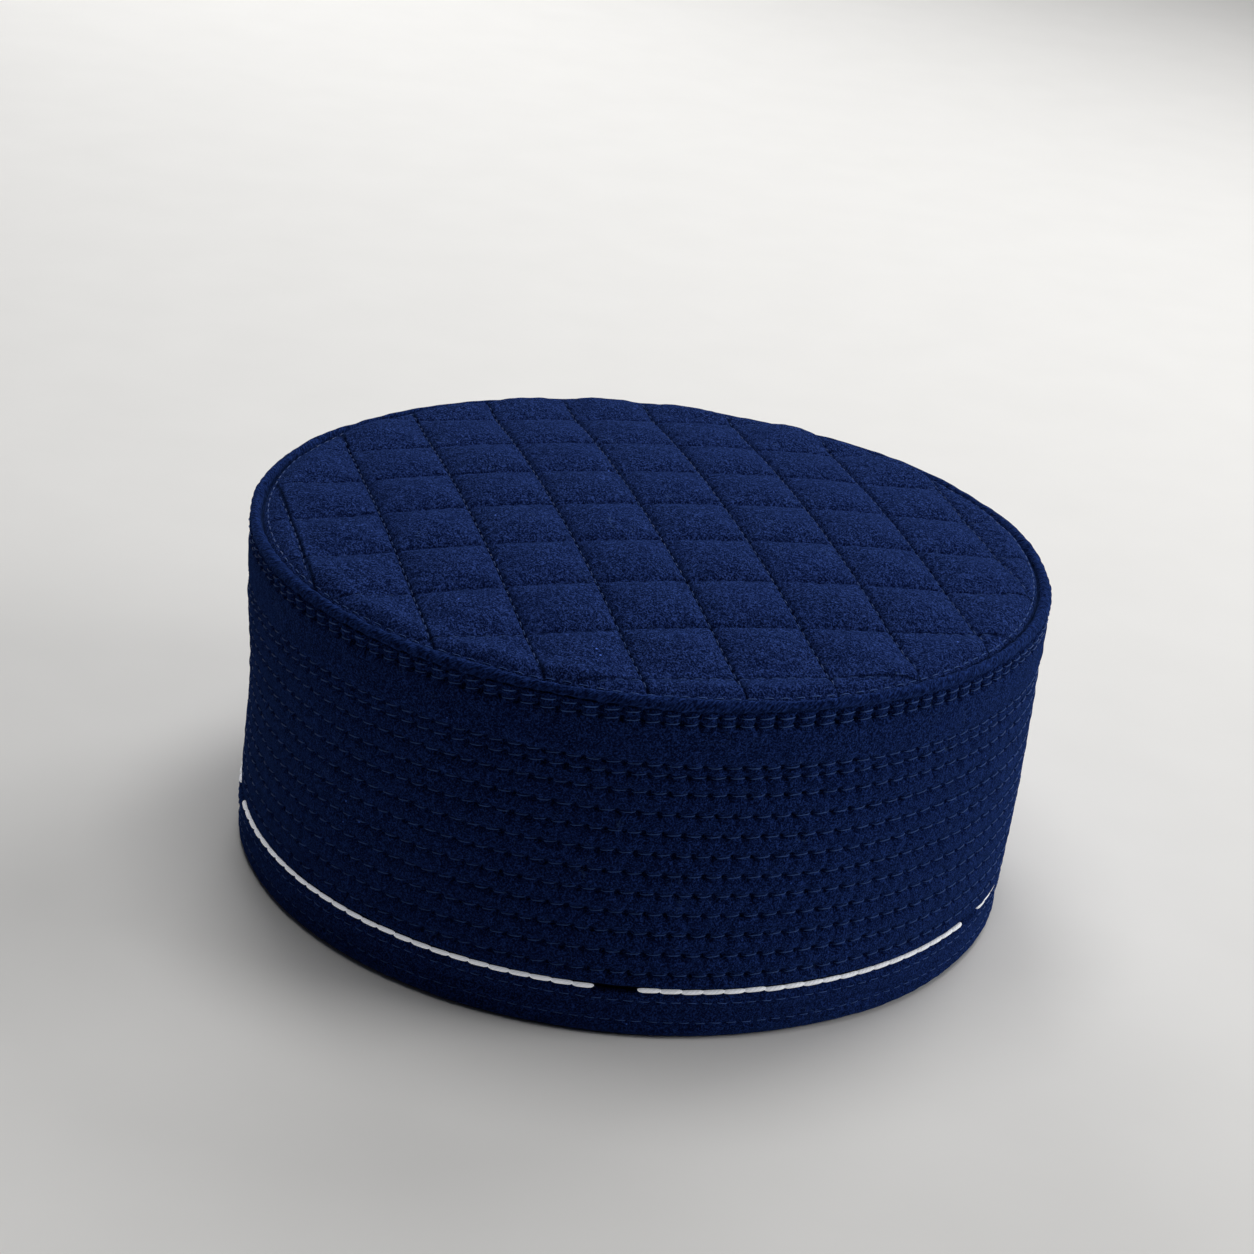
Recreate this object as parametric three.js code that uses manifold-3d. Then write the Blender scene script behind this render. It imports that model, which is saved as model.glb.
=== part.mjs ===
// Quilted brimless cap (kufi): a round quilted crown, a piped rim, a stitched side band and a bound hem.
// Units are millimetres. The origin is the centre of the hem, +Z is up through the crown and -Y is the front.
import * as THREE from "three";
import { mergeVertices } from "three/addons/utils/BufferGeometryUtils.js";
import Module from "manifold-3d";

const wasm = await Module();
wasm.setup();

// ---- Driving dimensions ----
const headCircumference = 570;
const layerGap = 0.3; // between any two pieces that touch on the real cap

const hemHeight = 11.6;
const rimHeight = 84.2; // centre of the piping
const wallLean = 1.7; // how much wider the rim is than the hem, on the radius

const faceThickness = 1.6;
const stiffenerThickness = 1.0;
const liningThickness = 0.5;
const hemInnerThickness = 0.8;
const sweatbandThickness = 0.8;
const crownThickness = 1.2;
const waddingThickness = 2.6;
const waddingEdgeThickness = 1.0;

const domeRise = 6.8; // crown centre above crown edge
const domePower = 2.3;
const crownEdgeDrop = 0.8; // crown edge below the piping's centre
const seamAllowance = 8.5; // how far crown, piping and lining edges hang down inside the band

const pipingRadius = 1.4;
const pipingClothThickness = 0.5;
const pipingSlit = 0.2; // between the two layers of the piping's flange
const pipingInset = 0.9; // piping centre inside the band's outer face

const threadThickness = 0.5;
const quiltPitchA = 21.5;
const quiltPitchB = 22.7;
const quiltTurn = 16.6; // degrees that the quilting is turned from the front
const quiltOffsetA = -0.1; // where line A5 runs, in pitches from the crown's centre
const quiltOffsetB = -0.27; // and line B4
const quiltShortestLine = 40;
const quiltEndMargin = 2.4; // from a quilting line's end to the crown's edge
const crownEdgeStitchMargin = 1.3; // from the crown's edge to the row that closes its layers

const rimRowDrop = 0.5; // first topstitch row below the band's top edge
const rimRowSpacing = 2.0;
const plainBandHeight = 13.2; // from the band's top edge down to the pair of rows
const bandPairSpacing = 2.5;
const bandPairToSingles = 4.4;
const bandRowPitch = 5.08;
const bandRowMargin = 2.5; // least height from the band's lower edge to its lowest row
const hemRowDrops = [1.9, 7.3]; // below the hem's top edge

const trimRadius = 0.5;
const trimProud = 0.1;
const trimGapCentres = [32, 88, 143, 192.5, 272, 334]; // degrees from +X, seen from above
const trimGapAngle = 6;

const hemCornerRadius = 1.7;
const hemLegHeight = 13.0;
const sweatbandBottom = 2.2;
const sweatbandTop = 28;
const sweatbandStitchHeight = 4.0;
const backSlitWidth = 1.0;
const backSeamThreadWidth = 0.4;

const ringSegments = 36;

// ---- Sizes worked out from them ----
const headRadius = headCircumference / (2 * Math.PI);
const stiffenerDepth = faceThickness + layerGap; // depths run inwards from the band's outer face
const hemInnerDepth = stiffenerDepth + stiffenerThickness + layerGap;
const sweatbandDepth = hemInnerDepth + hemInnerThickness + layerGap;
const hemRadius = headRadius + sweatbandDepth + sweatbandThickness;

const flangeDepth = faceThickness + layerGap;
const flangeThickness = 2 * pipingClothThickness + pipingSlit;
const crownSkirtDepth = flangeDepth + flangeThickness + layerGap;
const liningSkirtDepth = crownSkirtDepth + crownThickness + layerGap;
const topLiningDepth = liningSkirtDepth + liningThickness + layerGap;

const trimHeight = hemHeight + layerGap + trimRadius; // the white cord fills the groove above the hem
const faceBottom = trimHeight + trimRadius + layerGap;
const faceTop = rimHeight - pipingRadius - layerGap;
const crownEdgeHeight = rimHeight - crownEdgeDrop;
const skirtBottom = crownEdgeHeight - seamAllowance;
const stiffenerTop = skirtBottom - 2 * layerGap;
const crownRadius = wallRadius(crownEdgeHeight) - crownSkirtDepth;

// The band's outer radius at a height.
function wallRadius(z) {
  return hemRadius + (wallLean * z) / rimHeight;
}

// How far the crown stands above its edge at a distance from the axis.
function domeHeight(r) {
  return domeRise * (1 - Math.pow(Math.min(r, crownRadius) / crownRadius, domePower));
}

// ---- Shape helpers ----
const group = new THREE.Group();

function material(colour, roughness = 0.95, metalness = 0) {
  return new THREE.MeshStandardMaterial({ color: colour, roughness, metalness });
}

const navyFelt = material(0x1a2b5c);
const navyBinding = material(0x182856);
const navyThread = material(0x24386e, 0.7);
const whiteThread = material(0xe6e8ee, 0.6);
const navyLining = material(0x111c3c, 0.6);
const canvas = material(0xc9c2ae);
const wadding = material(0xeeeeea);

function add(name, geometry, itsMaterial) {
  const mesh = new THREE.Mesh(geometry, itsMaterial);
  mesh.name = name;
  group.add(mesh);
  return mesh;
}

function signedArea(points) {
  return points.reduce((sum, [x, y], i) => {
    const [nextX, nextY] = points[(i + 1) % points.length];
    return sum + (x * nextY - nextX * y) / 2;
  }, 0);
}

// A closed outline of [radius, height] points, turned round the Z axis.
function turned(outline) {
  const touchesAxis = outline.some(([r]) => r === 0);
  const ordered = signedArea(outline) > 0 ? outline : [...outline].reverse();
  const points = ordered.map(([r, z]) => new THREE.Vector2(r, z));
  if (touchesAxis) {
    while (!(points[0].x === 0 && points[points.length - 1].x === 0)) points.push(points.shift());
  } else {
    points.push(points[0].clone());
  }
  return new THREE.LatheGeometry(points, ringSegments).rotateX(Math.PI / 2);
}

// The outline of a layer that follows the band between two heights, at a depth inside its outer face.
function bandLayer(bottom, top, depth, thickness) {
  return [
    [wallRadius(bottom) - depth, bottom],
    [wallRadius(top) - depth, top],
    [wallRadius(top) - depth - thickness, top],
    [wallRadius(bottom) - depth - thickness, bottom],
  ];
}

// A sewn row: one closed thread ring that lies on the band's outer face.
function threadRing(z) {
  const half = threadThickness / 2;
  return turned(bandLayer(z - half, z + half, -layerGap - threadThickness, threadThickness));
}

function arcPoints(centreR, centreZ, radius, fromDegrees, toDegrees, steps) {
  return Array.from({ length: steps + 1 }, (_, i) => {
    const angle = THREE.MathUtils.degToRad(fromDegrees + ((toDegrees - fromDegrees) * i) / steps);
    return [centreR + radius * Math.cos(angle), centreZ + radius * Math.sin(angle)];
  });
}

function solid(geometry) {
  const bare = geometry.index ? geometry.toNonIndexed() : geometry.clone();
  bare.deleteAttribute("normal");
  bare.deleteAttribute("uv");
  const merged = mergeVertices(bare, 1e-4);
  return new wasm.Manifold(
    new wasm.Mesh({
      numProp: 3,
      vertProperties: merged.attributes.position.array,
      triVerts: new Uint32Array(merged.index.array),
    }),
  );
}

function geometryOf(manifold) {
  const { vertProperties, triVerts } = manifold.getMesh();
  const geometry = new THREE.BufferGeometry();
  geometry.setAttribute("position", new THREE.BufferAttribute(vertProperties, 3));
  geometry.setIndex(new THREE.BufferAttribute(triVerts, 1));
  return geometry;
}

// ---- Crown ----
const domeSteps = [0, 0.24, 0.44, 0.62, 0.77, 0.89, 0.96, 1];

// Heights along a layer of the crown, lowered by drop(share) at each share of the way from centre to edge.
function domeLine(edgeRadius, drop) {
  return domeSteps.map((share) => {
    const r = share * edgeRadius;
    return [r, crownEdgeHeight + domeHeight(r) - drop(share)];
  });
}

// A domed layer whose edge is turned down, at a depth inside the band's face, as its seam allowance.
function dish(depth, thickness, topDrop) {
  const edge = wallRadius(crownEdgeHeight) - depth;
  const hanging = wallRadius(skirtBottom) - depth;
  const top = domeLine(edge, topDrop);
  const under = domeLine(edge - thickness, (share) => topDrop(share) + thickness);
  return turned([...top, [hanging, skirtBottom], [hanging - thickness, skirtBottom], ...under.reverse()]);
}

function buildCrown() {
  add("crown_face", dish(crownSkirtDepth, crownThickness, () => 0), navyFelt);

  const waddingRadius = crownRadius - crownThickness - layerGap;
  const waddingTop = () => crownThickness + layerGap;
  const waddingUnder = (share) =>
    waddingTop() + THREE.MathUtils.lerp(waddingThickness, waddingEdgeThickness, Math.pow(share, 4));
  const waddingOutline = [
    ...domeLine(waddingRadius, waddingTop),
    ...domeLine(waddingRadius, waddingUnder).reverse(),
  ];
  add("crown_wadding", turned(waddingOutline), wadding);

  const liningDrop = (share) => waddingUnder(share) + layerGap;
  add("crown_lining", dish(liningSkirtDepth, liningThickness, liningDrop), navyLining);
}

// One straight sewn line over the dome: an outline in the line's own upright plane, as wide as the thread.
function quiltLine(distance, directionDegrees, lift) {
  const reach = Math.sqrt((crownRadius - quiltEndMargin) ** 2 - distance ** 2);
  const steps = 10;
  const heightAt = (along) => crownEdgeHeight + domeHeight(Math.hypot(along, distance)) + lift;
  const along = Array.from({ length: steps + 1 }, (_, i) => reach * ((2 * i) / steps - 1));
  const under = along.map((a) => new THREE.Vector2(a, heightAt(a)));
  const over = along.map((a) => new THREE.Vector2(a, heightAt(a) + threadThickness)).reverse();
  const flat = new THREE.Shape([...under, ...over]);
  const geometry = new THREE.ExtrudeGeometry(flat, { depth: threadThickness, bevelEnabled: false });
  geometry.translate(0, 0, -distance - threadThickness / 2);
  geometry.rotateX(Math.PI / 2);
  geometry.rotateZ(THREE.MathUtils.degToRad(directionDegrees));
  return geometry;
}

// The places, across the crown, of the parallel lines that are long enough to sew.
function quiltPlaces(pitch, offset) {
  const reach = crownRadius - quiltEndMargin;
  const places = [];
  const firstStep = Math.ceil(-reach / pitch - offset);
  for (let step = firstStep; (step + offset) * pitch < reach; step++) {
    const distance = (step + offset) * pitch;
    if (2 * Math.sqrt(reach ** 2 - distance ** 2) > quiltShortestLine) places.push(distance);
  }
  return places;
}

function buildQuilting() {
  const underLift = layerGap;
  const overLift = 2 * layerGap + threadThickness; // the A lines are sewn last, over the B lines
  quiltPlaces(quiltPitchA, quiltOffsetA).forEach((distance, i) => {
    add(`quilt_stitch_a${i + 1}`, quiltLine(-distance, quiltTurn + 90, overLift), navyThread);
  });
  quiltPlaces(quiltPitchB, quiltOffsetB).forEach((distance, i) => {
    add(`quilt_stitch_b${i + 1}`, quiltLine(-distance, quiltTurn, underLift), navyThread);
  });
}

// The row that closes the crown's layers runs round the edge, just past the ends of the quilting.
function buildCrownEdgeStitch() {
  const outer = crownRadius - crownEdgeStitchMargin + threadThickness / 2;
  const radii = [outer, outer - threadThickness];
  const heightAt = (r) => crownEdgeHeight + domeHeight(r) + layerGap;
  const under = radii.map((r) => [r, heightAt(r)]);
  const over = radii.map((r) => [r, heightAt(r) + threadThickness]).reverse();
  add("crown_edge_stitch", turned([...under, ...over]), navyThread);
}

// ---- Rim ----
// A strip folded round the cord: a bulb on top, and two layers that hang into the seam as a flange.
function buildPiping() {
  const centre = wallRadius(rimHeight) - pipingInset;
  const flangeOuter = wallRadius(faceTop) - flangeDepth;
  const flangeInner = flangeOuter - flangeThickness;
  const slitOuter = flangeOuter - pipingClothThickness;
  const slitInner = flangeInner + pipingClothThickness;
  const boreRadius = pipingRadius - pipingClothThickness;
  const lean = wallRadius(faceTop) - wallRadius(skirtBottom);
  const bulbStart = THREE.MathUtils.radToDeg(Math.acos((centre - flangeOuter) / pipingRadius)) - 180;
  const keyhole = [
    [flangeOuter - lean, skirtBottom],
    ...arcPoints(centre, rimHeight, pipingRadius, bulbStart, 170, 9),
    [flangeInner, faceTop],
    [flangeInner - lean, skirtBottom],
    [slitInner - lean, skirtBottom],
    [slitInner, faceTop],
    ...arcPoints(centre, rimHeight, boreRadius, 175, -170, 8),
    [slitOuter, faceTop],
    [slitOuter - lean, skirtBottom],
  ];
  add("piping_cover", turned(keyhole), navyBinding);
  const cordSection = arcPoints(centre, rimHeight, boreRadius - layerGap, 0, 315, 7);
  add("piping_cord", turned(cordSection), wadding);
}

// ---- Side band ----
function buildBand() {
  const ring = solid(turned(bandLayer(faceBottom, faceTop, 0, faceThickness)));
  const slit = new THREE.BoxGeometry(backSlitWidth, 3 * faceThickness, rimHeight);
  slit.translate(0, wallRadius(rimHeight / 2) - faceThickness / 2, rimHeight / 2 + faceBottom / 2);
  add("side_face", geometryOf(ring.subtract(solid(slit))), navyFelt);

  const seamHeight = faceTop - faceBottom;
  const seam = new THREE.BoxGeometry(backSeamThreadWidth, threadThickness, seamHeight);
  seam.rotateX(-Math.atan2(wallRadius(faceTop) - wallRadius(faceBottom), seamHeight));
  seam.translate(0, wallRadius((faceTop + faceBottom) / 2) - faceThickness / 2, (faceTop + faceBottom) / 2);
  add("back_seam_thread", seam, navyThread);

  const stiffenerBottom = hemCornerRadius + layerGap;
  add(
    "side_stiffener",
    turned(bandLayer(stiffenerBottom, stiffenerTop, stiffenerDepth, stiffenerThickness)),
    canvas,
  );
  add("side_lining", turned(sideLiningOutline()), navyLining);
}

// The lining lies on the stiffener, then passes inside the hanging seam allowances up to the crown.
function sideLiningOutline() {
  const bottom = hemLegHeight + layerGap;
  const bend = stiffenerTop - seamAllowance;
  const top = crownEdgeHeight - crownThickness - waddingEdgeThickness - liningThickness - 4 * layerGap;
  const outer = [
    [wallRadius(bottom) - hemInnerDepth, bottom],
    [wallRadius(bend) - hemInnerDepth, bend],
    [wallRadius(skirtBottom) - topLiningDepth, skirtBottom - 2 * layerGap],
    [wallRadius(top) - topLiningDepth, top],
  ];
  return [...outer, ...outer.map(([r, z]) => [r - liningThickness, z]).reverse()];
}

function buildRows() {
  const rimRows = [faceTop - rimRowDrop, faceTop - rimRowDrop - rimRowSpacing];
  rimRows.forEach((z, i) => add(`rim_stitch_${i + 1}`, threadRing(z), navyThread));

  const pairTop = faceTop - plainBandHeight;
  const pair = [pairTop - bandPairSpacing, pairTop];
  const highest = pair[0] - bandPairToSingles;
  const count = Math.floor((highest - faceBottom - bandRowMargin) / bandRowPitch) + 1;
  const singles = Array.from({ length: count }, (_, i) => highest - (count - 1 - i) * bandRowPitch);
  [...singles, ...pair].forEach((z, i) => {
    add(`band_stitch_${String(i + 1).padStart(2, "0")}`, threadRing(z), navyThread);
  });
}

// ---- Hem ----
function buildHem() {
  const outer = wallRadius(0);
  const inner = outer - hemInnerDepth - hemInnerThickness;
  const corner = hemCornerRadius;
  const outline = [
    ...arcPoints(inner + corner / 2, corner / 2, corner / 2, 180, 270, 2),
    ...arcPoints(outer - corner, corner, corner, -90, 0, 4),
    [wallRadius(hemHeight), hemHeight],
    [wallRadius(hemHeight) - faceThickness, hemHeight],
    [wallRadius(corner) - faceThickness, corner],
    [wallRadius(corner) - hemInnerDepth, corner],
    [wallRadius(hemLegHeight) - hemInnerDepth, hemLegHeight],
    [wallRadius(hemLegHeight) - hemInnerDepth - hemInnerThickness, hemLegHeight],
  ];
  add("hem_binding", turned(outline), navyBinding);
  hemRowDrops.forEach((drop, i) => {
    add(`hem_stitch_${i + 1}`, threadRing(hemHeight - drop), navyThread);
  });
}

function buildSweatband() {
  add(
    "sweatband",
    turned(bandLayer(sweatbandBottom, sweatbandTop, sweatbandDepth, sweatbandThickness)),
    navyLining,
  );
  const low = sweatbandStitchHeight - threadThickness / 2;
  const depth = sweatbandDepth + sweatbandThickness + layerGap;
  add("sweatband_stitch", turned(bandLayer(low, low + threadThickness, depth, threadThickness)), navyThread);
}

// The white cord lies in the groove between hem and band, broken by short gaps.
function buildTrim() {
  const radius = wallRadius(trimHeight) + trimProud - trimRadius;
  const section = new THREE.Shape();
  section.absarc(0, 0, trimRadius, 0, 2 * Math.PI);
  trimGapCentres.forEach((centre, i) => {
    const next = trimGapCentres[(i + 1) % trimGapCentres.length];
    const from = THREE.MathUtils.degToRad(centre + trimGapAngle / 2);
    const sweep = THREE.MathUtils.degToRad(((next - centre + 360) % 360) - trimGapAngle);
    const route = new THREE.EllipseCurve(0, 0, radius, radius, from, from + sweep);
    const line = new THREE.CatmullRomCurve3(
      route.getPoints(12).map((p) => new THREE.Vector3(p.x, p.y, trimHeight)),
    );
    const cord = new THREE.ExtrudeGeometry(section, { steps: 8, curveSegments: 4, extrudePath: line });
    add(`trim_cord_${i + 1}`, cord, whiteThread);
  });
}

buildCrown();
buildQuilting();
buildCrownEdgeStitch();
buildPiping();
buildBand();
buildRows();
buildHem();
buildSweatband();
buildTrim();

export default group;
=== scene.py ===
"""The looks of a quilted brimless cap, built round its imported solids.

Units are metres, +Z up, -Y the front.
"""

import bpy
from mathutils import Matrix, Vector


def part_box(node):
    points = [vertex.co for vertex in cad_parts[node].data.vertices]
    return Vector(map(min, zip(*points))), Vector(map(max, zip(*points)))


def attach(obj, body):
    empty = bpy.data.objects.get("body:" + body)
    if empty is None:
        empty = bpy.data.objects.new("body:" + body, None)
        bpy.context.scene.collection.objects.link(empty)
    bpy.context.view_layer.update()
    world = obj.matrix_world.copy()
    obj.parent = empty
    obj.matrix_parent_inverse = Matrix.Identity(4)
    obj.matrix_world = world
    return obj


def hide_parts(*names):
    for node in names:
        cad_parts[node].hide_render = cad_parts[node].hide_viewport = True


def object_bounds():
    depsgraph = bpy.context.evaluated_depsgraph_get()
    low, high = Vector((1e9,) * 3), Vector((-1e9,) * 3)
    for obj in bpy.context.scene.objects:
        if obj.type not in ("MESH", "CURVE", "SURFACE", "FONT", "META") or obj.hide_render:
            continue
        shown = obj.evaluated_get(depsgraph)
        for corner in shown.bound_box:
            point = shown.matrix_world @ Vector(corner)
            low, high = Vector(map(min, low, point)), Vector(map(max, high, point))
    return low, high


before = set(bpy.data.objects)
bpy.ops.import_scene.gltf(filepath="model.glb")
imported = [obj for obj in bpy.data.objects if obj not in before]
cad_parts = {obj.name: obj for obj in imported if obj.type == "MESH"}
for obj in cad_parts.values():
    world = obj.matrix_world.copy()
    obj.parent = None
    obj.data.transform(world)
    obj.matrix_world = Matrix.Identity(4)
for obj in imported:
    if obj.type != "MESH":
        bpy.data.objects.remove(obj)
CAD_BOX = [list(corner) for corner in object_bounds()]

import math

import bpy
import numpy as np
from mathutils import Matrix, Vector

MM = 0.001
TAU = 2 * math.pi
rng = np.random.default_rng(7)


# ---------------------------------------------------------------- sizes taken from the frame


def node_points(name):
    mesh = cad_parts[name].data
    co = np.empty(len(mesh.vertices) * 3, np.float32)
    mesh.vertices.foreach_get("co", co)
    return co.reshape(-1, 3).astype(float)


def widest_radius(name, z, reach=0.02 * MM):
    """The largest distance from the axis of a node's corners at one height."""
    points = node_points(name)
    level = points[abs(points[:, 2] - z) < reach]
    return np.hypot(level[:, 0], level[:, 1]).max()


def height(name):
    low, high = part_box(name)
    return (low.z + high.z) / 2


FACE_LOW, FACE_HIGH = (corner.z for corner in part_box("side_face"))
FACE_THICKNESS = 1.6 * MM
LAYER_GAP = 0.3 * MM  # between two layers that touch on the real cap
WALL_LOW_RADIUS = widest_radius("side_face", FACE_LOW)
WALL_LEAN = (widest_radius("side_face", FACE_HIGH) - WALL_LOW_RADIUS) / (FACE_HIGH - FACE_LOW)


def wall_radius(z):
    """The band's nominal outer radius at a height."""
    return WALL_LOW_RADIUS + WALL_LEAN * (z - FACE_LOW)


CROWN_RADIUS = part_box("crown_face")[1].x
CROWN_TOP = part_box("crown_face")[1].z
CROWN_SKIRT_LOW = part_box("crown_face")[0].z
crown_points = node_points("crown_face")
crown_reach = np.hypot(crown_points[:, 0], crown_points[:, 1])
CROWN_EDGE = crown_points[crown_reach > CROWN_RADIUS - 0.02 * MM, 2].max()
DOME_RISE = CROWN_TOP - CROWN_EDGE
DOME_POWER = 2.3
CROWN_THICKNESS = 1.2 * MM
BATT_DEPTH = 4.1 * MM  # from the dome to the wadding's underside: felt, gap and wadding
LINING_DEPTH = 4.4 * MM  # from the dome to the lining's upper side: a gap more
LINING_THICKNESS = 0.5 * MM
EDGE_THINNING = 1.6 * MM  # how much thinner the wadding is at the crown's edge
PIPING_Z = height("piping_cord")
CORD_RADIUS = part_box("piping_cord")[1].z - PIPING_Z
PIPING_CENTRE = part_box("piping_cord")[1].x - CORD_RADIUS
PIPING_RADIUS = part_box("piping_cover")[1].z - PIPING_Z
FLANGE_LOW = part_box("piping_cover")[0].z
FLANGE_THICKNESS = 1.2 * MM
EDGE_ROW_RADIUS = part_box("crown_edge_stitch")[1].x - 0.25 * MM
BACK = TAU / 4  # the direction of the back seam


def section(name):
    """A turned node's outer line and inner line, each as (radii, heights) from the bottom up."""
    points = node_points(name)
    radii = np.hypot(points[:, 0], points[:, 1])
    levels = np.unique(points[:, 2].round(5))
    rings = [radii[abs(points[:, 2] - z) < 0.02 * MM] for z in levels]
    return (np.array([r.max() for r in rings]), levels), (np.array([r.min() for r in rings]), levels)


def nodes_named(start):
    return sorted(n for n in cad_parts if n.startswith(start))


A_NODES, B_NODES = nodes_named("quilt_stitch_a"), nodes_named("quilt_stitch_b")
BAND_NODES, TRIM_NODES = nodes_named("band_stitch_"), nodes_named("trim_cord_")
RIM_NODES, HEM_NODES = nodes_named("rim_stitch_"), nodes_named("hem_stitch_")


def run_direction(name):
    """The plan direction of a straight sewn line."""
    points = node_points(name)[:, :2]
    return np.linalg.svd(points - points.mean(0))[2][0]


ACROSS = run_direction(B_NODES[3])  # along the B lines, to the right
ACROSS = ACROSS * np.sign(ACROSS[0])
AWAY = np.array([-ACROSS[1], ACROSS[0]])  # along the A lines, to the back
A_PLACES = np.sort([node_points(n)[:, :2].mean(0) @ ACROSS for n in A_NODES])
B_PLACES = np.sort([node_points(n)[:, :2].mean(0) @ AWAY for n in B_NODES])
PITCH_A = np.diff(A_PLACES).mean()
PITCH_B = np.diff(B_PLACES).mean()


def along_quilting(x, y):
    """Plan points measured along the B lines and along the A lines."""
    return x * ACROSS[0] + y * ACROSS[1], x * AWAY[0] + y * AWAY[1]


def dome_height(r):
    return CROWN_EDGE + DOME_RISE * (1 - np.clip(r / CROWN_RADIUS, 0, 1) ** DOME_POWER)


# ---------------------------------------------------------------- mesh helpers


def smoothstep(low, high, x):
    t = np.clip((x - low) / (high - low), 0, 1)
    return t * t * (3 - 2 * t)


def hump(off, width):
    """1 at the middle, falling smoothly to 0 on either side."""
    return np.exp(-((off / width) ** 2))


def round_axis(r, theta, z):
    return np.stack(np.broadcast_arrays(r * np.cos(theta), r * np.sin(theta), z), -1)


def new_object(name, data):
    made = bpy.data.objects.new(name, data)
    bpy.context.scene.collection.objects.link(made)
    return made


def noise_field(rows, columns, wave_rows, wave_columns, seed):
    """Smooth noise of unit spread that wraps round both ways; the waves are lengths in cells."""
    white = np.random.default_rng(seed).normal(size=(rows, columns))
    fy = np.fft.fftfreq(rows)[:, None] * wave_rows
    fx = np.fft.fftfreq(columns)[None, :] * wave_columns
    keep = np.exp(-((np.hypot(fx, fy) - 0.8) ** 2) / 0.35)
    field = np.fft.ifft2(np.fft.fft2(white) * keep).real
    return field / field.std()


def sample(field, i, j):
    """Bicubic values of a grid at fractional indices. The grid's last axis may hold vectors."""
    i0, j0 = np.floor(i).astype(int), np.floor(j).astype(int)
    ti, tj = i - i0, j - j0

    def weights(t):
        return [
            -0.5 * t**3 + t**2 - 0.5 * t,
            1.5 * t**3 - 2.5 * t**2 + 1,
            -1.5 * t**3 + 2 * t**2 + 0.5 * t,
            0.5 * t**3 - 0.5 * t**2,
        ]

    total = 0
    for a, wa in enumerate(weights(ti)):
        rows = np.clip(i0 + a - 1, 0, field.shape[0] - 1)
        for b, wb in enumerate(weights(tj)):
            columns = np.clip(j0 + b - 1, 0, field.shape[1] - 1)
            total = total + field[rows, columns] * (wa * wb)[..., None]
    return total


def grid_quads(rows, columns, wrap_rows=False, wrap_columns=False):
    index = np.arange(rows * columns).reshape(rows, columns)
    if wrap_rows:
        index = np.vstack([index, index[:1]])
    if wrap_columns:
        index = np.hstack([index, index[:, :1]])
    corners = [index[:-1, :-1], index[:-1, 1:], index[1:, 1:], index[1:, :-1]]
    return np.stack(corners, -1).reshape(-1, 4)


def turn_angles(columns):
    """Angles round the axis as one row, from the back seam."""
    return (BACK + np.arange(columns) * TAU / columns)[None, :]


def add_piece(name, verts, faces, material, nodes, uv, girth=None):
    mesh = bpy.data.meshes.new(name)
    mesh.from_pydata(np.asarray(verts).tolist(), [], [list(f) for f in faces])
    mesh.polygons.foreach_set("use_smooth", np.ones(len(mesh.polygons), bool))
    layer = mesh.uv_layers.new(name="cloth")
    corner = np.empty(len(mesh.loops), np.int32)
    mesh.loops.foreach_get("vertex_index", corner)
    laid = np.asarray(uv, np.float32)[corner]
    if girth:  # the faces that close the turn carry on past the girth
        across = laid[:, 0].reshape(-1, 4)
        laid[:, 0] = (across + girth * (across < across.max(1, keepdims=True) - girth / 2)).ravel()
    layer.data.foreach_set("uv", laid.ravel())
    mesh.materials.append(material)
    mesh.update()
    piece = new_object(name, mesh)
    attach(piece, "root")
    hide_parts(*nodes)
    return piece


def add_turned(name, radii, heights, columns, material, nodes):
    """A closed outline turned round the axis. radii and heights are one per point, or points by columns."""
    theta = turn_angles(columns)[0]
    radii = np.broadcast_to(np.asarray(radii).reshape(len(radii), -1), (len(radii), columns))
    heights = np.broadcast_to(np.asarray(heights).reshape(len(heights), -1), radii.shape)
    verts = round_axis(radii, theta, heights)
    along = np.hypot(np.diff(radii[:, 0], prepend=radii[0, 0]), np.diff(heights[:, 0], prepend=heights[0, 0]))
    size = radii.mean()
    uv = np.stack(np.broadcast_arrays((theta - BACK) * size, np.cumsum(along)[:, None]), -1)
    quads = grid_quads(*radii.shape, wrap_rows=True, wrap_columns=True)
    return add_piece(name, verts.reshape(-1, 3), quads, material, nodes, uv.reshape(-1, 2), TAU * size)


def add_shell(name, top, rings, centre, material, node, inside_out=False):
    """A disc of grid points, closed by (radius, height) rings round its rim and over its other side."""
    n = len(top)
    index = np.arange(n * n).reshape(n, n)
    loop = np.concatenate([index[:-1, 0], index[-1, :-1], index[:0:-1, -1], index[0, :0:-1]])
    flat = top.reshape(-1, 3)
    heading = flat[loop, :2] / np.linalg.norm(flat[loop, :2], axis=1, keepdims=True)
    closing = [np.column_stack([heading * r, np.full(len(loop), z)]) for r, z in rings]
    verts = np.vstack([flat, *closing, [[0, 0, centre]]])
    faces = grid_quads(n, n)[:, ::-1].tolist()
    rows = [loop] + [n * n + i * len(loop) + np.arange(len(loop)) for i in range(len(rings))]
    for upper, low in zip(rows, rows[1:]):
        faces += np.stack([upper, low, np.roll(low, -1), np.roll(upper, -1)], -1).tolist()
    faces += [[len(verts) - 1, int(b), int(a)] for a, b in zip(rows[-1], np.roll(rows[-1], -1))]
    if inside_out:
        faces = [face[::-1] for face in faces]
    return add_piece(name, verts, faces, material, [node], verts[:, :2])


def disc_grid(radius, n):
    """Plan points of a square grid drawn into a disc."""
    side = np.linspace(-1, 1, n)
    u, v = np.meshgrid(side, side, indexing="ij")
    return radius * u * np.sqrt(1 - v * v / 2), radius * v * np.sqrt(1 - u * u / 2)


def arc(centre_r, centre_z, radius, start, end, count):
    angle = np.radians(np.linspace(start, end, count))
    return centre_r + radius * np.cos(angle), centre_z + radius * np.sin(angle)


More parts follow.
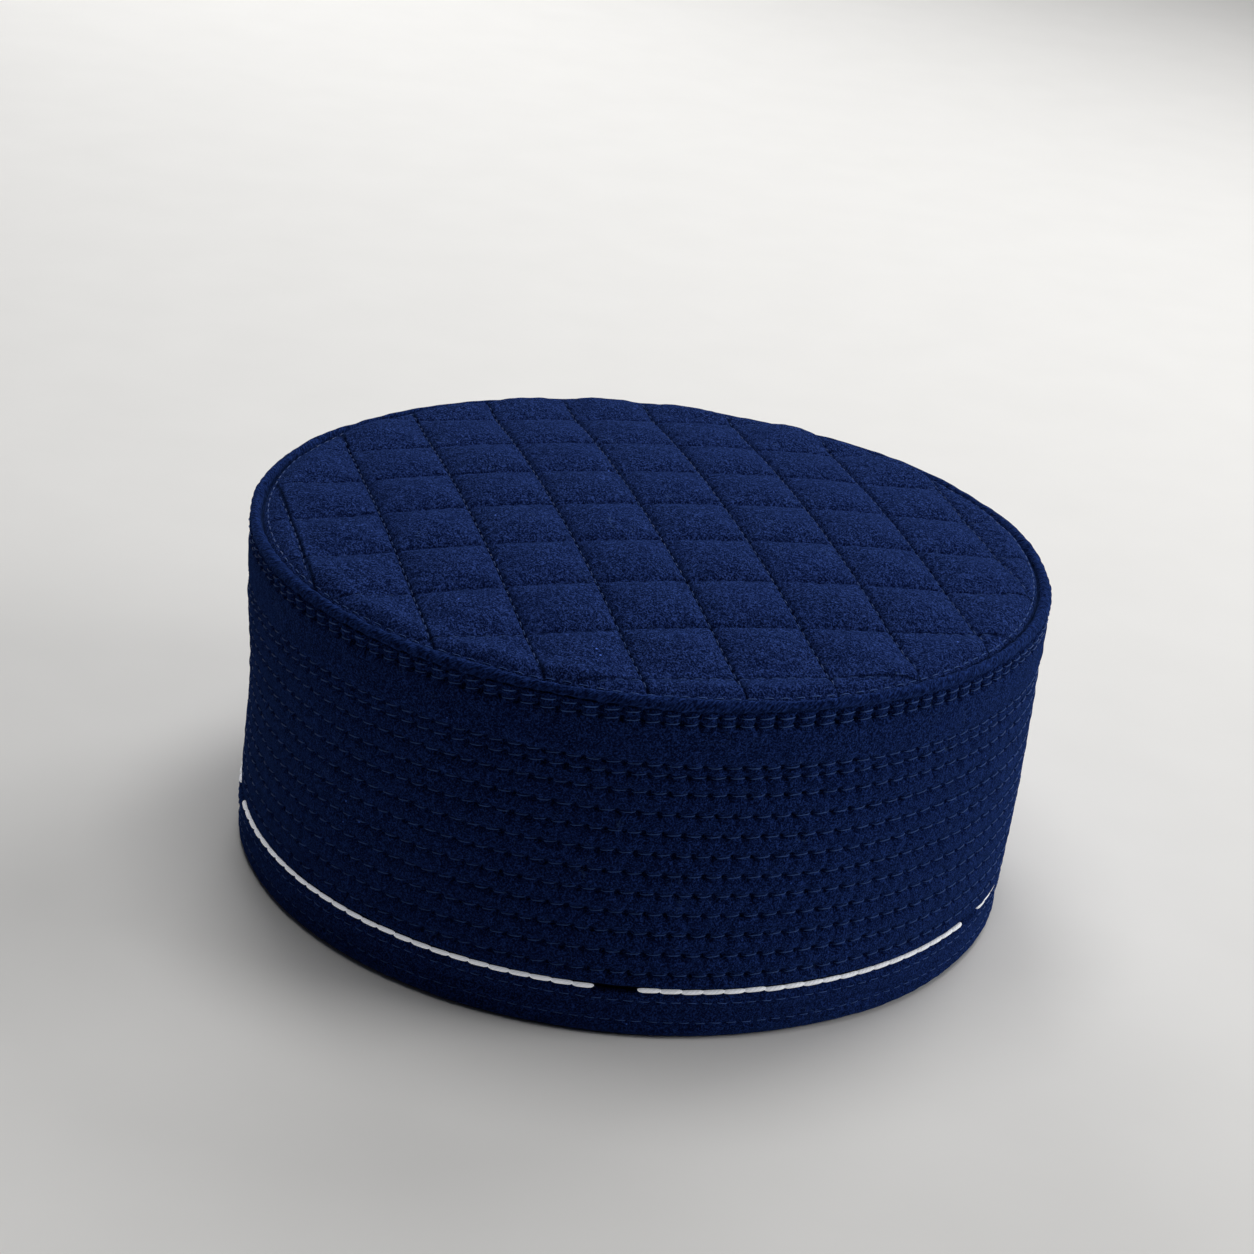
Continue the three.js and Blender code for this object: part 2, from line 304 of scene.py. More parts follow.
def outline(*parts):
    """Joins stretches of (radii, heights) into one outline."""
    radii = np.concatenate([np.atleast_1d(p[0]) for p in parts])
    heights = np.concatenate([np.atleast_1d(p[1]) for p in parts])
    return radii, heights


def thread_mesh(paths, outward, radius, sides=6, taper=0.45):
    """One tube for each path of points (paths, points, 3), thinner at its two ends."""
    paths, outward = np.asarray(paths), np.asarray(outward)
    count, points = paths.shape[:2]
    along = np.gradient(paths, axis=1)
    along /= np.linalg.norm(along, axis=-1, keepdims=True)
    side = np.cross(along, outward)
    side /= np.linalg.norm(side, axis=-1, keepdims=True)
    up = np.cross(side, along)
    t = np.linspace(-1, 1, points)
    thickness = radius * (1 - taper * t**6)
    angle = np.arange(sides) * TAU / sides + math.pi
    ring = up[:, :, None] * np.cos(angle)[:, None] + side[:, :, None] * np.sin(angle)[:, None]
    verts = paths[:, :, None] + ring * thickness[:, None, None]
    travelled = np.linalg.norm(np.diff(paths, axis=1, prepend=paths[:, :1]), axis=-1).cumsum(1)
    turns = travelled[:, :, None] / (6 * radius) + angle / TAU
    uv = np.stack([0 * turns, turns], -1)
    base = grid_quads(points, sides, wrap_columns=True)
    start = np.arange(count)[:, None, None] * points * sides
    faces = (start + base[None]).reshape(-1, 4).tolist()
    for i in range(count):
        first = i * points * sides
        last = first + (points - 1) * sides
        faces.append(list(range(first, first + sides))[::-1])
        faces.append(list(range(last, last + sides)))
    return verts.reshape(-1, 3), faces, uv.reshape(-1, 2)


# ---------------------------------------------------------------- materials


class Nodes:
    """A small helper to write shader graphs as calls."""

    def __init__(self, name):
        self.material = bpy.data.materials.new(name)
        self.material.use_nodes = True
        self.tree = self.material.node_tree
        self.shader = self.tree.nodes["Principled BSDF"]

    def add(self, kind, inputs=None, **settings):
        node = self.tree.nodes.new(kind)
        for key, value in settings.items():
            setattr(node, key, value)
        for key, value in (inputs or {}).items():
            self.feed(node.inputs[key], value)
        return node

    def feed(self, socket, value):
        if isinstance(value, bpy.types.NodeSocket):
            self.tree.links.new(value, socket)
        else:
            socket.default_value = value

    def mix(self, factor, a, b):
        return self.add("ShaderNodeMix", {0: factor, 6: a, 7: b}, data_type="RGBA").outputs[2]

    def mapped(self, where, **inputs):
        return self.add("ShaderNodeMapping", {"Vector": where, **inputs}).outputs[0]

    def ramp(self, value, low, high):
        return self.add("ShaderNodeMapRange", {0: value, 1: low, 2: high}).outputs[0]

    def math(self, operation, a, b=0.0):
        return self.add("ShaderNodeMath", {0: a, 1: b}, operation=operation).outputs[0]

    def noise(self, where, scale, detail=2.0, roughness=0.5, distortion=0.0):
        inputs = {"Vector": where, "Scale": scale, "Detail": detail}
        inputs |= {"Roughness": roughness, "Distortion": distortion}
        return self.add("ShaderNodeTexNoise", inputs).outputs["Fac"]

    def place(self):
        return self.add("ShaderNodeTexCoord").outputs["Object"]

    def cloth_uv(self):
        return self.add("ShaderNodeUVMap", uv_map="cloth").outputs[0]

    def set(self, colour=None, normal=None, roughness=None, **sockets):
        for name, value in {"Base Color": colour, "Normal": normal, "Roughness": roughness}.items():
            if value is not None:
                self.feed(self.shader.inputs[name], value)
        for name, value in sockets.items():
            self.shader.inputs[name.replace("_", " ")].default_value = value
        return self.material

    def bump(self, value, distance, strength=1.0, normal=None):
        inputs = {"Height": value, "Distance": distance, "Strength": strength}
        if normal is not None:
            inputs["Normal"] = normal
        return self.add("ShaderNodeBump", inputs).outputs[0]


def shade(colour, factor):
    return (*(c * factor for c in colour), 1.0)


GROUND = (0.0014, 0.0038, 0.0225)  # the felt between its tufts
TIPS = (0.0195, 0.047, 0.205)  # the ends of its fibres
SHEENED_CROWN_TIPS = (0.029, 0.059, 0.225)  # the band's fibre tips, painted paler on the crown as painted sheen
NAP_FINISH = {
    "Sheen_Weight": 0.12,
    "Sheen_Roughness": 0.45,
    "Sheen_Tint": (0.16, 0.34, 1.0, 1),
    "Specular_IOR_Level": 0.0,
}


def curls(n, where, scale, width, distortion):
    """Thin winding lines, like fibres that lie on the cloth."""
    field = n.noise(where, scale, 0.0, 0.5, distortion)
    return n.ramp(n.math("ABSOLUTE", n.math("SUBTRACT", field, 0.5)), width, 0.0)


def nap(n, where, fineness=1.0):
    """Fibres felted into winding ridges, with grains among them and longer curls over them here and there."""
    aside = n.mapped(where, Location=(0.31, 0.17, 0.23))
    field = n.noise(where, 950.0 * fineness, 0.0, 0.5, 0.6)
    ridges = n.ramp(n.math("SINE", n.math("MULTIPLY", field, 15.0)), -0.6, 1.0)
    grains = n.ramp(n.noise(aside, 1700.0 * fineness, 1.0), 0.36, 0.66)
    here = n.ramp(n.noise(aside, 520.0, 0.0), 0.5, 0.6)
    fibres = n.math("MULTIPLY", curls(n, where, 640.0 * fineness, 0.05, 0.7), here)
    short = n.math("ADD", n.math("MULTIPLY", ridges, 0.36), n.math("MULTIPLY", grains, 0.46))
    return n.math("ADD", short, n.math("MULTIPLY", fibres, 0.3))


def seam_distance(n):
    """How far a point of the crown is from its nearest quilting lines, along and across."""
    turn = -math.atan2(ACROSS[1], ACROSS[0])
    turned = n.mapped(n.place(), Rotation=(0, 0, turn))
    first = (0.5 - A_PLACES[0] / PITCH_A, 0.5 - B_PLACES[0] / PITCH_B, 0)
    steps = n.mapped(turned, Scale=(1 / PITCH_A, 1 / PITCH_B, 1), Location=first)
    split = n.add("ShaderNodeSeparateXYZ", {0: steps})
    for axis, pitch in zip((0, 1), (PITCH_A, PITCH_B)):
        off = n.math("ABSOLUTE", n.math("SUBTRACT", n.math("FRACT", split.outputs[axis]), 0.5))
        yield n.math("MULTIPLY", off, pitch)


def felt(name, ground, tips, fineness=1.0, depth=0.22 * MM, stretch=(1, 1, 1), quilted=False):
    """Napped wool felt: pale-tipped ridges, a mottled dye, a few loose hairs and lint specks."""
    n = Nodes(name)
    where = n.mapped(n.place(), Scale=stretch)
    pile = nap(n, where, fineness)
    worn = n.math("POWER", n.ramp(pile, 0.12, 0.86), 1.45)
    fine = n.mix(worn, (*ground, 1), (*tips, 1))
    mottle = n.ramp(n.noise(where, 85.0, 3.0, 0.6), 0.3, 0.72)
    dyed = n.mix(n.math("MULTIPLY", mottle, 0.16), fine, shade(ground, 4.0))
    haired_spots = n.ramp(n.noise(where, 150.0, 0.0), 0.68, 0.71)
    hairs = n.math("MULTIPLY", curls(n, where, 300.0, 0.012, 0.8), haired_spots)
    haired = n.mix(n.math("MULTIPLY", hairs, 0.55), dyed, (0.04, 0.075, 0.19, 1))
    specks = n.add("ShaderNodeTexVoronoi", {"Vector": where, "Scale": 240.0}).outputs["Distance"]
    chosen = n.ramp(n.noise(where, 43.0, 0.0), 0.66, 0.7)
    lint = n.math("MULTIPLY", n.ramp(specks, 0.07, 0.04), chosen)
    coloured = n.mix(lint, haired, shade(tips, 3.0))
    if quilted:  # painted shade: the felt is painted dark along the seams' furrows and on its turned-down edge in the groove by the piping
        along, across = seam_distance(n)
        from_a, from_b = n.ramp(along, 0.08 * MM, 0.55 * MM), n.ramp(across, -0.15 * MM, 0.42 * MM)
        clear_of_seam_shade = n.math("MULTIPLY", from_a, from_b)
        level = n.mapped(n.place(), Scale=(1, 1, 0))
        from_axis = n.add("ShaderNodeVectorMath", {0: level}, operation="LENGTH").outputs["Value"]
        from_edge = n.ramp(from_axis, CROWN_RADIUS + 0.8 * MM, CROWN_RADIUS + 0.35 * MM)
        clear_of_seam_shade = n.math("MULTIPLY", clear_of_seam_shade, from_edge)
        coloured = n.mix(clear_of_seam_shade, shade(ground, 0.5), coloured)
    soft = n.bump(n.noise(where, 210.0, 2.0), 0.1 * MM, 0.5)
    return n.set(coloured, n.bump(pile, depth, 0.9, soft), 0.95, **NAP_FINISH)


def thread(name, colour, roughness=0.45, gloss=0.2, painted_glow=0.0):
    """Spun thread: plies that wind round each other, and slightly uneven dye."""
    n = Nodes(name)
    wave = n.add("ShaderNodeTexWave", {"Vector": n.cloth_uv(), "Scale": 0.942}, bands_direction="Y")
    plies = wave.outputs["Fac"]
    uneven = n.ramp(n.noise(n.place(), 300.0, 2.0), 0.3, 0.7)
    tone = n.math("ADD", n.math("MULTIPLY", plies, 0.5), n.math("MULTIPLY", uneven, 0.5))
    coloured = n.mix(tone, shade(colour, 0.7), shade(colour, 1.2))
    return n.set(
        coloured,
        n.bump(plies, 0.08 * MM, 0.7),
        roughness,
        Specular_IOR_Level=gloss,
        # painted light: the thread glows by its own emission when asked
        Emission_Color=(0.9, 0.93, 1.0, 1),
        Emission_Strength=painted_glow,
    )


def woven(name, colour, scale, roughness=0.7, sheen=0.1, depth=0.05 * MM, ribs=None):
    """A plain woven cloth; ribs gives it raised ribs instead of an even weave."""
    n = Nodes(name)
    where = n.cloth_uv()
    warp = n.add("ShaderNodeTexWave", {"Vector": where, "Scale": scale, "Distortion": 0.6}).outputs["Fac"]
    weft = n.add(
        "ShaderNodeTexWave",
        {"Vector": where, "Scale": ribs or scale, "Distortion": 0.6},
        bands_direction="Y",
    ).outputs["Fac"]
    weave = warp if ribs else n.math("MAXIMUM", warp, weft)
    slub = n.noise(n.place(), 130.0, 3.0)
    tone = n.math("ADD", n.math("MULTIPLY", weave, 0.5), n.math("MULTIPLY", slub, 0.6))
    coloured = n.mix(n.ramp(tone, 0.2, 0.9), shade(colour, 0.7), shade(colour, 1.3))
    return n.set(
        coloured,
        n.bump(weave, depth, 0.7),
        roughness,
        Sheen_Weight=sheen,
        Sheen_Tint=(0.5, 0.6, 1.0, 1),
        Specular_IOR_Level=0.3,
    )


def bias_cloth(name):
    """The piping's cloth, cut on the bias: short slanting ribs under the nap."""
    n = Nodes(name)
    turned = n.mapped(n.cloth_uv(), Rotation=(0, 0, math.radians(48)))
    drawn_out = n.mapped(turned, Scale=(2600, 620, 1))
    ribs = n.ramp(n.noise(drawn_out, 1.0, 1.0, 0.5, 0.3), 0.38, 0.64)
    pile = n.math("ADD", n.math("MULTIPLY", ribs, 0.55), n.math("MULTIPLY", nap(n, n.place(), 1.1), 0.6))
    coloured = n.mix(n.math("POWER", n.ramp(pile, 0.1, 1.0), 1.4), (*GROUND, 1), shade(TIPS, 0.85))
    return n.set(coloured, n.bump(pile, 0.2 * MM, 0.9), 0.92, **NAP_FINISH)


FELT = felt("navy_felt", GROUND, TIPS, 1.45)
# the crown's nap lies front to back
CROWN_FELT = felt("navy_crown_felt", GROUND, SHEENED_CROWN_TIPS, 1.4, stretch=(1, 0.7, 1), quilted=True)
BINDING = bias_cloth("navy_piping")
HEM_CLOTH = felt("navy_hem", GROUND, TIPS, 1.5, 0.15 * MM)
NAVY_THREAD = thread("navy_thread", (0.04, 0.095, 0.3), gloss=0.12)
# the crown's quilting thread: the navy thread with less gloss, painted darker as shade in the seams it lies
# in
SEAM_SHADED_THREAD = thread("navy_thread_painted_shade", (0.034, 0.074, 0.23), gloss=0.03)
WHITE_THREAD = thread("white_thread", (0.8, 0.81, 0.84), 0.5, painted_glow=0.27)  # painted light: it glows a little through its own emission, to look brighter
LINING = woven("navy_lining", (0.006, 0.011, 0.04), 900.0, 0.5)
SWEAT_CLOTH = woven("sweatband_cloth", (0.008, 0.015, 0.055), 420.0, 0.75, 0.15, 0.12 * MM, ribs=1200.0)
CANVAS = felt("stiffener_canvas", (0.004, 0.005, 0.01), (0.01, 0.012, 0.022), 0.7, 0.1 * MM)
WADDING = felt("wadding", (0.5, 0.5, 0.48), (0.8, 0.8, 0.78), 0.6, 0.2 * MM)


# ---------------------------------------------------------------- sewn rows round the band


class Row:
    """A sewn row round the axis: where its needle holes are and how its height wavers."""

    def __init__(self, node, stitch, waver=0.12 * MM, drift=0.25):
        self.node = node
        self.z = height(node)
        self.radius = wall_radius(self.z)
        self.count = round(TAU * self.radius / stitch)
        self.pitch = TAU * self.radius / self.count
        self.phase = rng.uniform(0, 1)
        self.waves = [(k, rng.uniform(0, TAU), rng.normal() / k) for k in range(2, 15)]
        self.waver, self.drift = waver, drift
        self.table = np.linspace(0, TAU, 8192)  # angles at which the stitches are counted
        self.places = self.along(self.table)

    def wave(self, theta, shift):
        return sum(a * np.sin(k * theta + p + shift) for k, p, a in self.waves)

    def along(self, theta):
        """The distance along the row, counted in stitches: whole numbers are needle holes."""
        return theta / TAU * self.count + self.phase + self.drift * self.wave(theta, 0)

    def level(self, theta):
        return self.z + self.waver * self.wave(theta, 1.7)

    def angle(self, stitches):
        first = self.places[0]
        return np.interp((stitches - first) % self.count + first, self.places, self.table)


STITCH = 4.5 * MM
rim_rows = [Row(n, STITCH, 0.05 * MM) for n in RIM_NODES]
rim_rows[1].phase, rim_rows[1].waves = rim_rows[0].phase, rim_rows[0].waves
rim_rows[1].places = rim_rows[1].along(rim_rows[1].table)
band_rows = [Row(n, STITCH) for n in BAND_NODES]
hem_rows = [Row(n, STITCH * 0.8, 0.08 * MM) for n in HEM_NODES]
# how deep the cloth is drawn in: along the row, at its holes, and in creases above and below the holes
TOP_RIM_DEPTHS = dict(groove=0.15 * MM, hole=1.0 * MM, crease=0.6 * MM, reach=1.7 * MM)
RIM_DEPTHS = dict(groove=0.35 * MM, hole=1.0 * MM, crease=0.6 * MM, reach=1.6 * MM)
BAND_DEPTHS = dict(groove=0.7 * MM, hole=0.95 * MM, crease=0.4 * MM, reach=2.2 * MM)
HEM_DEPTHS = dict(groove=0.12 * MM, hole=0.2 * MM, crease=0.05 * MM, reach=1.2 * MM)


def drawn_in(row, theta, z, groove, hole, crease, reach):
    """How far a sewn row pulls the cloth in at each point."""
    dz = z - row.level(theta)
    place = row.along(theta)
    ds = (place - np.round(place)) * row.pitch
    line = groove * (0.55 * hump(dz, 0.65 * MM) + 0.45 * hump(dz, 1.7 * MM))
    pits = hole * np.exp(-((ds / (0.62 * MM)) ** 2) - (dz / (0.62 * MM)) ** 2)
    creases = crease * np.exp(-((ds / (0.8 * MM)) ** 2) - (dz / reach) ** 2)
    return line + pits + creases


class Wobble:
    """Smooth unevenness of a band of cloth: short waves and long ones, the same for all that lies on it."""

    ROWS, COLUMNS, MARGIN = 120, 960, 2

    def __init__(self, low, high, short, long, seed):
        self.low, self.high = low, high
        size = self.ROWS, self.COLUMNS
        self.field = short * noise_field(*size, 8, 9, seed) + long * noise_field(*size, 60, 80, seed + 1)
        self.field = np.pad(self.field, self.MARGIN, mode="wrap")

    def __call__(self, theta, z):
        theta, z = np.broadcast_arrays(theta, z)
        i = np.clip((z - self.low) / (self.high - self.low), 0, 1) * (self.ROWS - 1) + self.MARGIN
        j = (theta % TAU) / TAU * self.COLUMNS + self.MARGIN
        return sample(self.field[..., None], i, j)[..., 0]


def bell(theta, middle, width):
    """A hump in one direction. The angles are in degrees."""
    off = (np.degrees(theta) - middle + 180) % 360 - 180
    return hump(off, width)


def soft_shape(theta, z):
    """The band is soft, so it stands a little in or out of its cone."""
    waist = hump(z - 38 * MM, 24 * MM)
    around = -1.4 * bell(theta, 192, 28) + 0.8 * bell(theta, -8, 30) + 0.5 * bell(theta, 100, 40)
    return around * MM * waist


def rim_drop(theta, z):
    """The rim lies lower at the back, where the crown swells over it."""
    drop = 1.3 * MM * (0.5 + 0.5 * np.cos(theta - math.radians(78))) ** 1.5
    return drop * smoothstep(FLANGE_LOW - 2 * MM, FACE_HIGH, z)


def band_relief(theta, z):
    """The band's outer face against its nominal cone: positive stands out."""
    relief = 0.6 * MM + soft_shape(theta, z) + face_wobble(theta, z)
    for row, depths in zip(rim_rows, (TOP_RIM_DEPTHS, RIM_DEPTHS)):
        relief = relief - drawn_in(row, theta, z, **depths)
    tightness = 0.45 + 0.6 * bell(theta, 282, 40)  # the rows are sewn tightest near the front
    for row in band_rows:
        relief = relief - tightness * drawn_in(row, theta, z, **BAND_DEPTHS)
    # soft folds hang from the rim's stitches into the plain stretch
    rim = rim_rows[1]
    below = np.clip((rim.z - z) / (5 * MM), 0, None)
    folds = np.cos(TAU * rim.along(theta)) * np.exp(-below * 1.3) * smoothstep(0, 0.2, below)
    relief = relief + 0.1 * MM * folds
    # the two ends of the band meet in a seam at the back
    from_seam = (theta - BACK) * wall_radius(z)
    relief = relief - 0.8 * MM * hump(from_seam, 0.45 * MM)
    return relief + 0.12 * MM * np.exp(-((abs(from_seam) - 1.8 * MM) ** 2) / (1.2 * MM) ** 2)


face_wobble = Wobble(FACE_LOW, FACE_HIGH, 0.07 * MM, 0.12 * MM, 11)
BAND_COLUMNS = 136 * 9  # nine for each stitch
FACE_ROWS = 158


def build_side_face():
    top = FACE_HIGH + 0.75 * MM  # the felt rises a little way up the piping
    z = np.linspace(FACE_LOW, top, FACE_ROWS)[:, None]
    theta = turn_angles(BAND_COLUMNS)
    relief = band_relief(theta, z)
    top_roll, low_roll = 1.0 * MM, 0.9 * MM
    from_top = np.clip(1 - (top - z) / top_roll, 0, 1)
    from_low = np.clip(1 - (z - FACE_LOW) / low_roll, 0, 1)
    tuck = top_roll * (1 - np.sqrt(1 - 0.98 * from_top**2)) + low_roll * (1 - np.sqrt(1 - 0.98 * from_low**2))
    outer = wall_radius(z) + relief - tuck
    inner_z = np.array([FACE_HIGH - 0.1 * MM, FACE_LOW + 0.1 * MM])
    inner = (wall_radius(inner_z) - FACE_THICKNESS)[:, None] + 0 * theta
    radii = np.vstack([outer, inner])
    heights = np.vstack([z, inner_z[:, None]])
    heights = heights - rim_drop(theta, heights)
    add_turned("side_felt", radii, heights, BAND_COLUMNS, FELT, ["side_face"])


THREAD_RADIUS = 0.14 * MM


def row_stitches(row, relief, slant=0.0, radius=THREAD_RADIUS):
    """The separate stitches of one row, each laid between two needle holes."""
    fill = 0.72  # a stitch's share of the way between two holes
    sink = 0.25 * MM  # how far its ends dip
    t = np.linspace(-1, 1, 10)[None, :]
    number = np.arange(row.count)[:, None]
    theta = row.angle(number + 0.5 + t / 2 * fill)
    lean = slant + 0.05 * MM * np.random.default_rng(row.count + 1).normal(size=number.shape)
    z = row.level(theta) + lean * t
    laid = np.maximum(relief(theta, z), relief(row.angle(number + 0.5), z) - 0.25 * MM)
    # the leading end of a stitch stands out
    r = wall_radius(row.z) + laid + radius * 0.7 + 0.09 * MM * t - sink * np.abs(t) ** 5
    paths = round_axis(r, theta, z - rim_drop(theta, z))
    return thread_mesh(paths, round_axis(1, theta, 0), radius)


def sew(name, tubes, node, material=NAVY_THREAD):
    verts, faces, uv = tubes
    return add_piece(name, verts, faces, material, [node], uv)


def build_rows():
    for row in rim_rows + band_rows:
        sew(row.node.replace("stitch", "thread"), row_stitches(row, band_relief, slant=0.2 * MM), row.node)
    for row in hem_rows:
        sew(row.node.replace("stitch", "thread"), row_stitches(row, hem_relief, radius=0.1 * MM), row.node)


def build_back_seam():
    """A column of slanting stitches that pulls the band's two ends together."""
    spacing = 2.6 * MM
    levels = np.arange(FACE_LOW + 2 * MM, FACE_HIGH - 3.5 * MM, spacing)[:, None]
    t = np.linspace(-1, 1, 8)[None, :]
    x = 1.25 * MM * t + 0 * levels
    z = levels + 0.7 * MM * t
    relief = band_relief(np.array([[BACK + 0.02]]), levels)
    y = wall_radius(levels) + relief - 0.05 * MM - 0.5 * MM * np.abs(t) ** 5
    outward = np.broadcast_to(np.array([0.0, 1.0, 0.0]), x.shape + (3,))
    sew("back_seam_threads", thread_mesh(np.stack([x, y, z], -1), outward, 0.2 * MM), "back_seam_thread")


# ---------------------------------------------------------------- hem and trim

hem_points = node_points("hem_binding")
hem_radii = np.hypot(hem_points[:, 0], hem_points[:, 1])
HEM_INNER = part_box("hem_binding")[1].x - (hem_radii.max() - hem_radii[abs(hem_points[:, 0]) < 1e-6].min())
HEM_LEG_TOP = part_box("hem_binding")[1].z
TRIM_Z = height(TRIM_NODES[0])
TRIM_RADIUS = (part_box(TRIM_NODES[0])[1].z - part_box(TRIM_NODES[0])[0].z) / 2
HEM_TOP = TRIM_Z - TRIM_RADIUS - LAYER_GAP
CHANNEL_DEPTHS = (1.6 * MM, 3.2 * MM)  # of the slot that holds the band's stiffener
hem_wobble = Wobble(0, HEM_TOP, 0.05 * MM, 0.12 * MM, 21)


def hem_relief(theta, z):
    relief = 0.25 * MM + hem_wobble(theta, z)
    for row in hem_rows:
        relief = relief - drawn_in(row, theta, z, **HEM_DEPTHS)
    # the turned edge stands out under the trim
    ledge = hump(z - HEM_TOP + 1.9 * MM, 1.4 * MM)
    return relief + 0.12 * MM * np.sin(math.pi * np.clip(z / HEM_TOP, 0, 1)) + 0.4 * MM * ledge


def build_hem():
    columns = 720
    theta = turn_angles(columns)
    corner, top_round, inner_round, leg = 1.9 * MM, 1.2 * MM, 0.85 * MM, 0.8 * MM
    outer_r = wall_radius(0)
    rise = np.linspace(corner, HEM_TOP - top_round, 34)
    radii, heights = outline(
        arc(HEM_INNER + inner_round, inner_round, inner_round, 180, 270, 5),
        arc(outer_r - corner, corner, corner, -90, -4, 9),
        (wall_radius(rise), rise),
        arc(wall_radius(HEM_TOP) - top_round, HEM_TOP - top_round, top_round, 12, 90, 7),
        (wall_radius(HEM_TOP) - CHANNEL_DEPTHS[0], HEM_TOP),
        (wall_radius(corner) - CHANNEL_DEPTHS[0], corner),
        (wall_radius(corner) - CHANNEL_DEPTHS[1], corner),
        (wall_radius(HEM_LEG_TOP) - CHANNEL_DEPTHS[1], HEM_LEG_TOP),
        (wall_radius(HEM_LEG_TOP) - CHANNEL_DEPTHS[1] - leg, HEM_LEG_TOP),
    )
    radii, heights = radii[:, None], heights[:, None]
    outside = smoothstep(2.4 * MM, 0.4 * MM, wall_radius(heights) - radii) * (radii > HEM_INNER + 2 * MM)
    bumps = hem_relief(theta, heights)
    lift = 0.12 * MM * np.clip(noise_field(1, columns, 1, 90, 23), 0, 2) * (heights < 0.2 * MM)
    radii, heights = radii + outside * bumps, heights + lift
    add_turned("hem", radii, heights, columns, HEM_CLOTH, ["hem_binding"])


def build_trim():
    """White cord in long stitches, each a little over the next."""
    pitch = 4.9 * MM
    for node in TRIM_NODES:
        points = node_points(node)
        heading = np.arctan2(points[:, 1].mean(), points[:, 0].mean())
        angles = (np.arctan2(points[:, 1], points[:, 0]) - heading + math.pi) % TAU - math.pi
        first, last = heading + angles.min(), heading + angles.max()
        radius = np.hypot(points[:, 0], points[:, 1]).max() - TRIM_RADIUS
        count = round((last - first) * radius / pitch)
        step = (last - first) / count
        number = np.arange(count)[:, None]
        t = np.linspace(0, 1, 14)[None, :]
        overlap = np.where(number == count - 1, 1.0, 1.05)
        theta = first + (number + t * overlap) * step
        slant = 0.13 * MM * (2 * t - 1)
        sway = 0.05 * MM * np.random.default_rng(len(node) + count).normal(size=number.shape)
        z = TRIM_Z + slant + sway
        r = radius + 0.55 * MM + 0.1 * MM * (2 * t - 1) - 0.35 * MM * np.abs(2 * t - 1) ** 5 + 0 * number
        tubes = thread_mesh(round_axis(r, theta, z), round_axis(1, theta, 0), 0.53 * MM, 12, 0.62)
        sew(node.replace("cord", "stitches"), tubes, node, WHITE_THREAD)


# ---------------------------------------------------------------- piping


def build_piping():
    """A strip of cloth folded round a cord, with its flange down inside the band."""
    columns = 1200
    theta = turn_angles(columns)
    around = np.radians(np.linspace(-128, 196, 30))[:, None]
    flange_out = wall_radius(FACE_HIGH) - FACE_THICKNESS - LAYER_GAP
    drop = wall_radius(FACE_HIGH) - wall_radius(FLANGE_LOW)
    pinch = 0.09 * MM * np.cos(TAU * rim_rows[0].along(theta)) * np.cos(around + 0.4)
    size = len(around), columns
    swell = 0.06 * MM * noise_field(*size, 14, 14, 31) + 0.1 * MM * noise_field(*size, 200, 90, 32)
    thick = PIPING_RADIUS + pinch + swell
    bulb_r = PIPING_CENTRE + thick * np.cos(around)
    bulb_z = PIPING_Z + thick * np.sin(around) * 0.97
    flange = [
        (flange_out - FLANGE_THICKNESS, FACE_HIGH),
        (flange_out - FLANGE_THICKNESS - drop, FLANGE_LOW),
        (flange_out - drop, FLANGE_LOW),
    ]
    flange_r = np.array([r for r, _ in flange])[:, None] + 0 * theta
    flange_z = np.array([z for _, z in flange])[:, None] + 0 * theta
    radii = np.vstack([bulb_r, flange_r])
    heights = np.vstack([bulb_z, flange_z])
    heights = heights - rim_drop(theta, heights)
    add_turned("piping", radii, heights, columns, BINDING, ["piping_cover"])
    around, theta = np.radians(np.arange(0, 360, 30))[:, None], theta[:, ::4]
    radii = PIPING_CENTRE + CORD_RADIUS * np.cos(around) + 0 * theta
    heights = PIPING_Z + CORD_RADIUS * np.sin(around) - rim_drop(theta, PIPING_Z + 0 * around)
    add_turned("piping_core", radii, heights, theta.shape[1], WADDING, ["piping_cord"])


# ---------------------------------------------------------------- crown

CELLS = 18  # simulated cloth cells across one quilted square
STITCH_CELLS = 3  # cells in one quilting stitch
FRAMES = 20
SIM_SCALE = 10.0  # cloth settings suit a model a few metres wide
PUFF_LIMIT = 3.2 * MM


